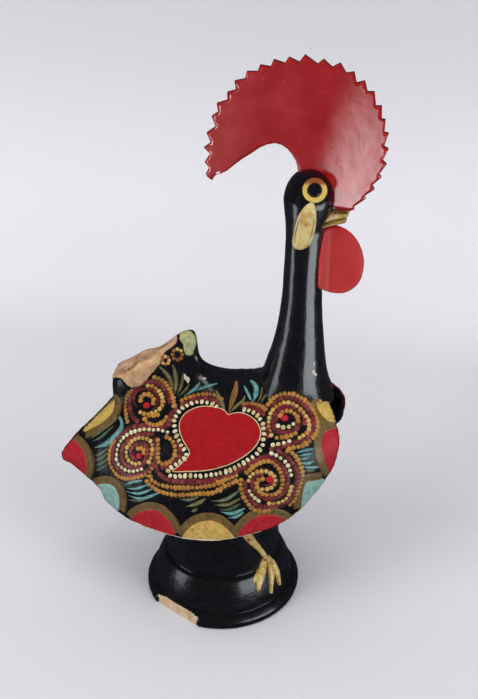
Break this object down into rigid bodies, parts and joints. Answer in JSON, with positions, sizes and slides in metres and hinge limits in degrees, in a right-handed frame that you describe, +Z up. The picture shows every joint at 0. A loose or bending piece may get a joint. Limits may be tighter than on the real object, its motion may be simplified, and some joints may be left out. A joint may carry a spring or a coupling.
{
  "type": "rooster of barcelos",
  "caption": "Painted fired-clay folk rooster with a tall serrated comb, on a round bell-shaped pedestal; it stands as a table ornament.",
  "frame": {"origin": "centre of the pedestal's foot, on the surface it stands on", "axes": "+X towards the beak, +Y to the bird's left, +Z up"},
  "size_m": [0.2324, 0.126, 0.4145],
  "materials": {
    "black_ware": "black varnish brushed over fired clay",
    "painted_wing": "black varnish under painted dots, hearts and leaves",
    "red_enamel": "glossy red enamel over fired clay",
    "ochre_paint": "yellow ochre enamel with brown shading",
    "black_paint": "glossy black enamel",
    "raw_clay": "bare fired clay, broken"
  },
  "bodies": {
    "root": {"base_pedestal": "black_ware", "body_shell": "black_ware", "right_wing": "painted_wing", "left_wing": "painted_wing", "neck_and_head": "black_ware", "tail_stump": "raw_clay", "comb": "red_enamel", "wattle": "red_enamel", "upper_beak": "ochre_paint", "lower_beak": "ochre_paint", "right_eye": "ochre_paint", "left_eye": "ochre_paint", "right_pupil": "black_paint", "left_pupil": "black_paint", "right_ear_lobe": "ochre_paint", "left_ear_lobe": "ochre_paint", "right_shank": "ochre_paint", "left_shank": "ochre_paint", "right_toes": "ochre_paint", "left_toes": "ochre_paint"}
  },
  "joints": []
}
